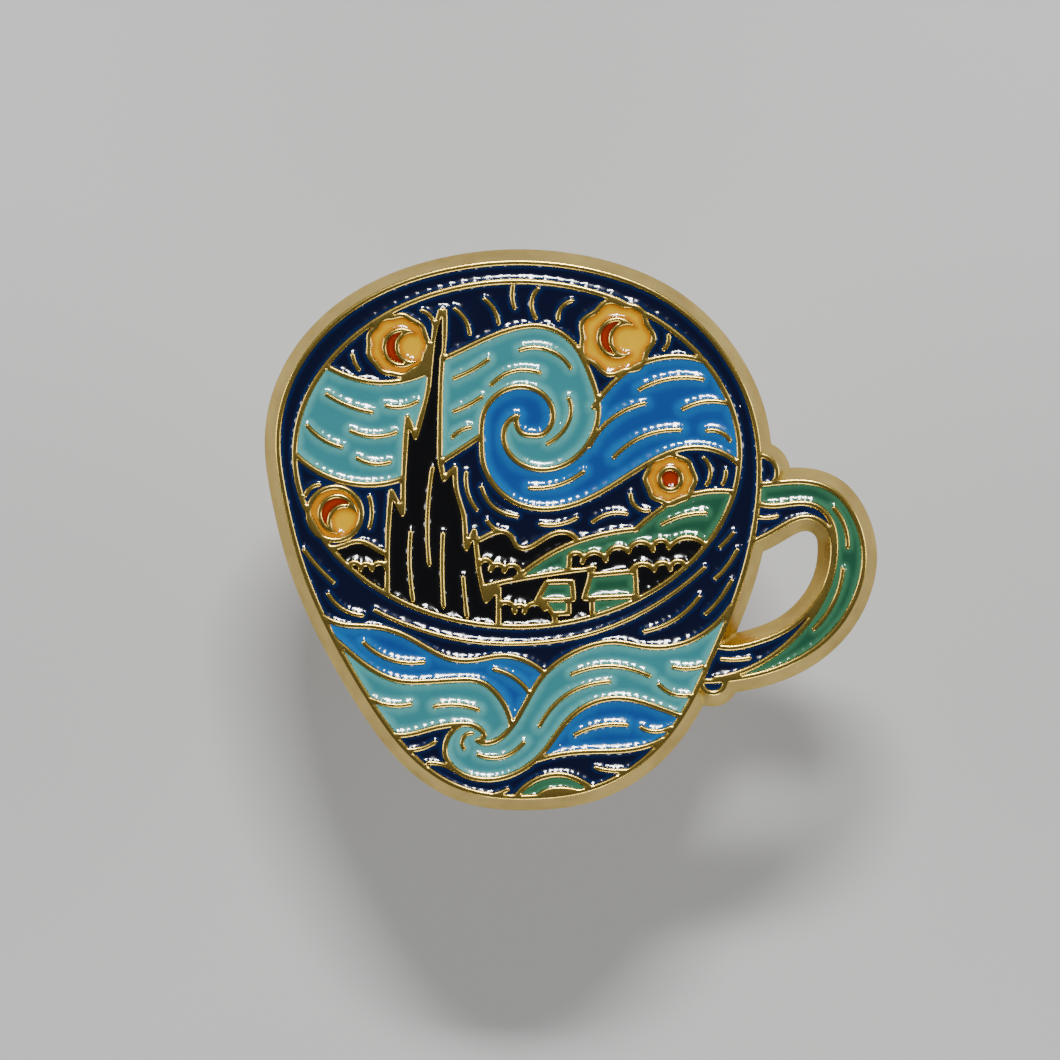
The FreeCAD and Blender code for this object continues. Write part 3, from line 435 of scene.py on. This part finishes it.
def band(upper, high, lower, low):
    # four-sided faces between two outlines that have as many points as each other
    count = len(upper)
    places = np.concatenate([np.c_[upper, np.full(count, high)], np.c_[lower, np.full(count, low)]])
    here = np.arange(count)
    there = (here + 1) % count
    return places, np.stack([here + count, there + count, there, here], 1)


def skirt(loop, high, low, outward):
    # an upright band under an outline; outward bands face away from the outline's left side
    places, quads = band(loop, high, loop, low)
    return places, quads if outward else quads[:, ::-1]


weldDecimals = 6            # corners that agree to this many are made one


class Builder:
    # gathers patches of places and faces, with the distance from the nearest outline
    def __init__(self):
        self.places, self.faces, self.gaps = [], [], []
        self.count = 0

    def add(self, places, faces, gaps=0.0):
        self.places.append(places)
        self.faces += (np.asarray(faces) + self.count).tolist()
        self.gaps.append(np.full(len(places), gaps) if np.isscalar(gaps) else gaps)
        self.count += len(places)

    def finish(self, name, sharpAngle):
        places = np.round(np.concatenate(self.places), weldDecimals)
        gaps = np.concatenate(self.gaps)
        welded, first, again = np.unique(places, axis=0, return_index=True, return_inverse=True)
        again = again.ravel()
        faces = [[int(again[corner]) for corner in face] for face in self.faces]
        faces = [face for face in faces if len(set(face)) == len(face)]
        mesh = bpy.data.meshes.new(name)
        mesh.from_pydata((welded * mm).tolist(), [], faces)
        gapLayer = mesh.attributes.new("edgeGap", "FLOAT", "POINT")
        gapLayer.data.foreach_set("value", gaps[first].astype(np.float32))
        mesh.validate()
        mesh.shade_smooth()
        mesh.set_sharp_from_angle(angle=math.radians(sharpAngle))
        for edge in mesh.edges:
            if all(abs(welded[corner][2] - landLevel) < onOutline for corner in edge.vertices):
                edge.use_edge_sharp = True      # the crease at the foot of the side wall
        piece = bpy.data.objects.new(name, mesh)
        bpy.context.scene.collection.objects.link(piece)
        return piece


noPoints = np.zeros((0, 2))
flatPoints, flatTriangles, flatAround = triangulate(plateLoops, noPoints)
flatZones = byZone(flatTriangles, flatAround)


def levelPatch(zone, level, facingUp):
    # a flat floor or underside of a fill
    places, triangles, _ = usedOnly(flatPoints, flatZones[zone])
    places = np.c_[places, np.full(len(places), level)]
    return places, triangles if facingUp else triangles[:, ::-1]


def buildPinBody():
    builder = Builder()
    for zone, heights in (("metal", metalHeights()), ("wall", wallHeights())):
        places, triangles, used = usedOnly(np.c_[facePoints, heights], zones[zone])
        builder.add(places, triangles, edgeGap[used])
    for i in list(fillNode) + islands:
        builder.add(*skirt(topLoops[i], fillTop, cellFloor, True))
    for node in enamelNodes:
        builder.add(*levelPatch(node, cellFloor, True))
    rounding = castPin["footRound"]
    lowerLoops = {}
    for i in (outerFoot, holeFoot):
        foot = backLoops[i]
        lowerLoops[i] = besideLoop(foot, rounding)
        builder.add(*skirt(foot, landLevel, backLevel + rounding, True))
        builder.add(*band(foot, backLevel + rounding, lowerLoops[i], backLevel))
    backEdges = [lowerLoops[outerFoot], lowerLoops[holeFoot]] + [backLoops[i] for i in recesses]
    places, triangles, around = triangulate(backEdges, noPoints)
    plain = [i for i, inside in enumerate(around) if inside == {0}]
    sunk = [i for i, inside in enumerate(around) if 0 in inside and any(n > 1 for n in inside)]
    for chosen, level in ((plain, backLevel), (sunk, recessLevel)):
        spots, faces, _ = usedOnly(places, triangles[chosen])
        builder.add(np.c_[spots, np.full(len(spots), level)], faces[:, ::-1])
    for i in recesses:
        builder.add(*skirt(backLoops[i], recessLevel, backLevel, True))
    piece = builder.finish("pin_body_cast", castPin["bodyCrease"])
    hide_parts("pin_body")
    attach(piece, "pin")
    return piece


def buildFill(node, heights):
    builder = Builder()
    places, triangles, used = usedOnly(np.c_[facePoints, heights], zones[node])
    builder.add(places, triangles, edgeGap[used])
    own = [i for i in fillNode if fillNode[i] == node]
    cells = {i for around in faceAround for i in around if i in islands and not around.isdisjoint(own)}
    for i in own + sorted(cells):
        builder.add(*skirt(topLoops[i], fillTop, cellFloor, False))
    builder.add(*levelPatch(node, cellFloor, False))
    piece = builder.finish(node + "_fill", castPin["fillCrease"])
    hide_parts(node)
    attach(piece, "pin")
    return piece


pinBody = buildPinBody()
heights = fillHeights()
fills = {node: buildFill(node, heights) for node in enamelNodes}
print(f"pin body: {len(pinBody.data.polygons)} faces; {len(fills)} enamel fills")


# Shader groups that several materials share.

def newGroup(name, inputs, outputs):
    group = bpy.data.node_groups.new(name, "ShaderNodeTree")
    for kind, label, value in inputs:
        socket = group.interface.new_socket(label, in_out="INPUT", socket_type=kind)
        socket.default_value = value
    for kind, label in outputs:
        group.interface.new_socket(label, in_out="OUTPUT", socket_type=kind)
    return group, group.nodes.new("NodeGroupInput"), group.nodes.new("NodeGroupOutput")


def addNode(tree, kind, settings=None, inputs=None):
    made = tree.nodes.new(kind)
    for key, value in (settings or {}).items():
        setattr(made, key, value)
    for key, value in (inputs or {}).items():
        if isinstance(value, bpy.types.NodeSocket):
            tree.links.new(value, made.inputs[key])
        else:
            made.inputs[key].default_value = value
    return made


def mathNode(tree, operation, first, second):
    return addNode(tree, "ShaderNodeMath", {"operation": operation}, {0: first, 1: second}).outputs[0]


def spread(tree, value, low, high, toLow, toHigh):
    return addNode(tree, "ShaderNodeMapRange", {}, {
        "Value": value, "From Min": low, "From Max": high, "To Min": toLow, "To Max": toHigh}).outputs[0]


platedTexture = {"patchDetail": 5.0, "patchRough": 0.6, "patchFrom": 0.35, "patchTo": 0.65,
                 "grainDetail": 4.0, "grainRough": 0.7, "grainFrom": 0.3, "grainTo": 0.7,
                 "speckle": 0.04, "pitWidth": 0.25, "bump": 0.00002}


def buildMetalGroup():
    # plated metal: a cloudy tone, fine grain and pits, and a duller finish in patches
    look = platedTexture
    group, given, result = newGroup("platedMetal", [
        ("NodeSocketColor", "Bright", (0.8, 0.65, 0.3, 1)),
        ("NodeSocketColor", "Dull", (0.6, 0.45, 0.2, 1)),
        ("NodeSocketFloat", "Patch Scale", 300.0),
        ("NodeSocketFloat", "Grain Scale", 9000.0),
        ("NodeSocketFloat", "Grain Depth", 0.3),
        ("NodeSocketFloat", "Smooth", 0.25),
        ("NodeSocketFloat", "Rough", 0.5),
        ("NodeSocketFloat", "Satin", 0.0),
    ], [("NodeSocketColor", "Color"), ("NodeSocketFloat", "Roughness"), ("NodeSocketVector", "Normal")])
    places = addNode(group, "ShaderNodeTexCoord").outputs["Object"]
    patches = addNode(group, "ShaderNodeTexNoise", {}, {
        "Vector": places, "Scale": given.outputs["Patch Scale"], "Detail": look["patchDetail"],
        "Roughness": look["patchRough"]})
    grain = addNode(group, "ShaderNodeTexNoise", {}, {
        "Vector": places, "Scale": given.outputs["Grain Scale"], "Detail": look["grainDetail"],
        "Roughness": look["grainRough"]})
    pits = addNode(group, "ShaderNodeTexVoronoi", {}, {
        "Vector": places, "Scale": given.outputs["Grain Scale"], "Randomness": 1.0})
    patch = spread(group, patches.outputs["Fac"], look["patchFrom"], look["patchTo"], 0.0, 1.0)
    colour = addNode(group, "ShaderNodeMix", {"data_type": "RGBA"}, {
        "Factor": patch, "A": given.outputs["Bright"], "B": given.outputs["Dull"]})
    change = mathNode(group, "SUBTRACT", given.outputs["Rough"], given.outputs["Smooth"])
    blotch = mathNode(group, "MULTIPLY", patch, change)
    rough = mathNode(group, "ADD", blotch, given.outputs["Smooth"])
    speckle = spread(group, grain.outputs["Fac"], look["grainFrom"], look["grainTo"],
                     -look["speckle"], look["speckle"])
    rough = mathNode(group, "ADD", rough, speckle)
    rough = mathNode(group, "ADD", rough, given.outputs["Satin"])
    pitHeight = spread(group, pits.outputs["Distance"], 0.0, look["pitWidth"], 0.0, 1.0)
    height = mathNode(group, "ADD", pitHeight, grain.outputs["Fac"])
    bump = addNode(group, "ShaderNodeBump", {}, {
        "Strength": given.outputs["Grain Depth"], "Distance": look["bump"], "Height": height})
    group.links.new(colour.outputs["Result"], result.inputs["Color"])
    group.links.new(rough, result.inputs["Roughness"])
    group.links.new(bump.outputs[0], result.inputs["Normal"])
    return group


enamelTexture = {"cloudScale": 500.0, "cloudDetail": 3.0, "cloudRough": 0.5, "cloudFrom": 0.3, "cloudTo": 0.7,
                 "peelScale": 2600.0, "peelDetail": 2.0,
                 "holeScale": 420.0, "holeFrom": 0.03, "holeTo": 0.07, "bumpStrength": 0.25, "bump": 0.00001,
                 "hazeFrom": 0.35, "hazeTo": 0.75, "haze": 0.06}


def buildEnamelGroup():
    # poured enamel: thin and lighter along the metal, deeper in the middle, softly cloudy, a few pinholes
    look = enamelTexture
    group, given, result = newGroup("pouredEnamel", [
        ("NodeSocketFloat", "Gap", 0.0),
        ("NodeSocketColor", "Thin", (0.5, 0.5, 0.5, 1)),
        ("NodeSocketColor", "Deep", (0.2, 0.2, 0.2, 1)),
        ("NodeSocketFloat", "Reach", 0.45),
        ("NodeSocketFloat", "Cloud", 0.13),
        ("NodeSocketFloat", "Polish", 0.1),
    ], [("NodeSocketColor", "Color"), ("NodeSocketFloat", "Roughness"), ("NodeSocketVector", "Normal")])
    places = addNode(group, "ShaderNodeTexCoord").outputs["Object"]
    clouds = addNode(group, "ShaderNodeTexNoise", {}, {
        "Vector": places, "Scale": look["cloudScale"], "Detail": look["cloudDetail"],
        "Roughness": look["cloudRough"]})
    cloud = spread(group, clouds.outputs["Fac"], look["cloudFrom"], look["cloudTo"], -1.0, 1.0)
    cloud = mathNode(group, "MULTIPLY", cloud, given.outputs["Cloud"])
    depth = mathNode(group, "DIVIDE", given.outputs["Gap"], given.outputs["Reach"])
    depth = mathNode(group, "ADD", depth, cloud)
    depth = addNode(group, "ShaderNodeMapRange", {"interpolation_type": "SMOOTHSTEP"}, {
        "Value": depth, "From Min": 0.0, "From Max": 1.0, "To Min": 0.0, "To Max": 1.0}).outputs[0]
    colour = addNode(group, "ShaderNodeMix", {"data_type": "RGBA"}, {
        "Factor": depth, "A": given.outputs["Thin"], "B": given.outputs["Deep"]})
    peel = addNode(group, "ShaderNodeTexNoise", {}, {
        "Vector": places, "Scale": look["peelScale"], "Detail": look["peelDetail"]})
    holes = addNode(group, "ShaderNodeTexVoronoi", {}, {"Vector": places, "Scale": look["holeScale"]})
    hole = spread(group, holes.outputs["Distance"], look["holeFrom"], look["holeTo"], -1.0, 0.0)
    height = mathNode(group, "ADD", peel.outputs["Fac"], hole)
    bump = addNode(group, "ShaderNodeBump", {}, {
        "Strength": look["bumpStrength"], "Distance": look["bump"], "Height": height})
    haze = spread(group, clouds.outputs["Fac"], look["hazeFrom"], look["hazeTo"], 0.0, look["haze"])
    rough = mathNode(group, "ADD", haze, given.outputs["Polish"])
    group.links.new(colour.outputs["Result"], result.inputs["Color"])
    group.links.new(rough, result.inputs["Roughness"])
    group.links.new(bump.outputs[0], result.inputs["Normal"])
    return group


metalGroup = buildMetalGroup()
enamelGroup = buildEnamelGroup()


def newMaterial(name, group, values, shader):
    # a Principled shader whose colour, roughness and normal come from one shared group
    material = bpy.data.materials.new(name)
    material.use_nodes = True
    tree = material.node_tree
    surface = tree.nodes["Principled BSDF"]
    effect = tree.nodes.new("ShaderNodeGroup")
    effect.node_tree = group
    for key, value in values.items():
        effect.inputs[key].default_value = value
    tree.links.new(effect.outputs["Color"], surface.inputs["Base Color"])
    tree.links.new(effect.outputs["Roughness"], surface.inputs["Roughness"])
    tree.links.new(effect.outputs["Normal"], surface.inputs["Normal"])
    for key, value in shader.items():
        surface.inputs[key].default_value = value
    return material, tree, effect


def paint(piece, material):
    piece.data.materials.clear()
    piece.data.materials.append(material)


# Metal finishes.

metalFinishes = {
    "goldPlate": {"Bright": (0.66, 0.47, 0.11, 1), "Dull": (0.5, 0.34, 0.07, 1), "Patch Scale": 420.0,
                  "Grain Scale": 9000.0, "Grain Depth": 0.1, "Smooth": 0.2, "Rough": 0.29},
    "postMetal": {"Bright": (0.85, 0.66, 0.28, 1), "Dull": (0.7, 0.52, 0.2, 1), "Patch Scale": 900.0,
                  "Grain Scale": 12000.0, "Grain Depth": 0.1, "Smooth": 0.14, "Rough": 0.26},
    "solderMetal": {"Bright": (0.62, 0.61, 0.57, 1), "Dull": (0.42, 0.4, 0.36, 1), "Patch Scale": 1800.0,
                    "Grain Scale": 7000.0, "Grain Depth": 0.6, "Smooth": 0.35, "Rough": 0.6},
    "clutchBrass": {"Bright": (0.84, 0.63, 0.24, 1), "Dull": (0.68, 0.48, 0.15, 1), "Patch Scale": 500.0,
                    "Grain Scale": 11000.0, "Grain Depth": 0.15, "Smooth": 0.15, "Rough": 0.3},
    "springBrass": {"Bright": (0.84, 0.66, 0.3, 1), "Dull": (0.7, 0.52, 0.2, 1), "Patch Scale": 700.0,
                    "Grain Scale": 14000.0, "Grain Depth": 0.15, "Smooth": 0.13, "Rough": 0.28},
}
metals = {name: newMaterial(name, metalGroup, values, {"Metallic": 1.0})
          for name, values in metalFinishes.items()}
satinWall = {"from": 0.17, "to": 0.45, "most": 0.12}


def gapNode(tree):
    # the distance from the nearest outline, in millimetres, as the mesh carries it
    return addNode(tree, "ShaderNodeAttribute", {"attribute_name": "edgeGap"}).outputs["Fac"]


def addSatin():
    # the side wall is left as struck, so it is duller than the polished lines
    _, tree, effect = metals["goldPlate"]
    satin = spread(tree, gapNode(tree), satinWall["from"], satinWall["to"], 0.0, satinWall["most"])
    tree.links.new(satin, effect.inputs["Satin"])


addSatin()
paint(pinBody, metals["goldPlate"][0])


# Enamel colours.

enamelTones = {
    "navy": {"Thin": (0.0008, 0.009, 0.05, 1), "Deep": (0.0003, 0.0014, 0.014, 1), "Reach": 0.3},
    "teal": {"Thin": (0.07, 0.27, 0.27, 1), "Deep": (0.024, 0.15, 0.17, 1), "Reach": 0.6},
    "blue": {"Thin": (0.012, 0.1, 0.29, 1), "Deep": (0.003, 0.04, 0.18, 1), "Reach": 0.7},
    "yellow": {"Thin": (0.38, 0.13, 0.0, 1), "Deep": (0.52, 0.29, 0.0, 1), "Reach": 0.4},
    "orange": {"Thin": (0.13, 0.007, 0.0, 1), "Deep": (0.24, 0.018, 0.0, 1), "Reach": 0.25},
    "black": {"Thin": (0.002, 0.002, 0.0025, 1), "Deep": (0.0005, 0.0005, 0.0007, 1), "Reach": 0.3},
    "green": {"Thin": (0.03, 0.12, 0.06, 1), "Deep": (0.008, 0.055, 0.028, 1), "Reach": 0.5},
}


enamelGloss = {"IOR": 1.5, "Coat Weight": 0.25, "Coat Roughness": 0.08}


def enamelMaterial(tone):
    material, tree, effect = newMaterial(tone + "Enamel", enamelGroup, enamelTones[tone], enamelGloss)
    tree.links.new(gapNode(tree), effect.inputs["Gap"])
    return material


enamels = {tone: enamelMaterial(tone) for tone in enamelTones}
for node, piece in fills.items():
    paint(piece, enamels[node.split("_")[1]])


# Posts, solder and clutches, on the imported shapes.

hardwareFinish = {"_post": "postMetal", "_solder_ring": "solderMetal", "_clutch_": "clutchBrass",
                  "_wing_": "springBrass"}
for name, piece in cadNodes.items():
    for part, finish in hardwareFinish.items():
        if part in name:
            paint(piece, metals[finish][0])
print("materials made")


# Floor and light.

# The floor's drop leaves the clutches room to slide off their posts.
ground = {"half": 1.5, "drop": 8.8, "tone": (0.42, 0.42, 0.415, 1), "roughness": 0.8}

floorMesh = bpy.data.meshes.new("floor")
half = ground["half"]
groundLevel = cadLow.z - ground["drop"] * mm
floorMesh.from_pydata([(-half, -half, groundLevel), (half, -half, groundLevel), (half, half, groundLevel),
                       (-half, half, groundLevel)], [], [(0, 1, 2, 3)])
floor = bpy.data.objects.new("floor", floorMesh)
bpy.context.scene.collection.objects.link(floor)
floorPaint = bpy.data.materials.new("paleFloor")
floorPaint.use_nodes = True
floorSurface = floorPaint.node_tree.nodes["Principled BSDF"]
floorSurface.inputs["Base Color"].default_value = ground["tone"]
floorSurface.inputs["Roughness"].default_value = ground["roughness"]
floorMesh.materials.append(floorPaint)

# Lamps in metres and watts, all turned to the pin.
studio = {
    "key": {"place": (0.02, 0.36, 0.42), "width": 0.18, "depth": 0.045, "power": 4.6},
    "left": {"place": (-0.55, 0.1, 0.22), "width": 0.3, "depth": 0.2, "power": 2.0},
    "right": {"place": (0.55, 0.1, 0.22), "width": 0.3, "depth": 0.2, "power": 2.0},
    "front": {"place": (0.1, -0.57, 0.22), "width": 0.4, "depth": 0.2, "power": 2.4},
}
for name, lamp in studio.items():
    light = bpy.data.lights.new(name, "AREA")
    light.shape = "RECTANGLE"
    light.size, light.size_y, light.energy = lamp["width"], lamp["depth"], lamp["power"]
    holder = bpy.data.objects.new(name, light)
    holder.location = lamp["place"]
    holder.rotation_euler = (-Vector(lamp["place"])).to_track_quat("-Z", "Y").to_euler()
    bpy.context.scene.collection.objects.link(holder)

skyLight = {"tone": (0.92, 0.95, 1, 1), "strength": 0.13}
world = bpy.data.worlds.new("studio")
bpy.context.scene.world = world
world.use_nodes = True
backdrop = world.node_tree.nodes["Background"]
backdrop.inputs["Color"].default_value = skyLight["tone"]
backdrop.inputs["Strength"].default_value = skyLight["strength"]
print("floor and lights set")
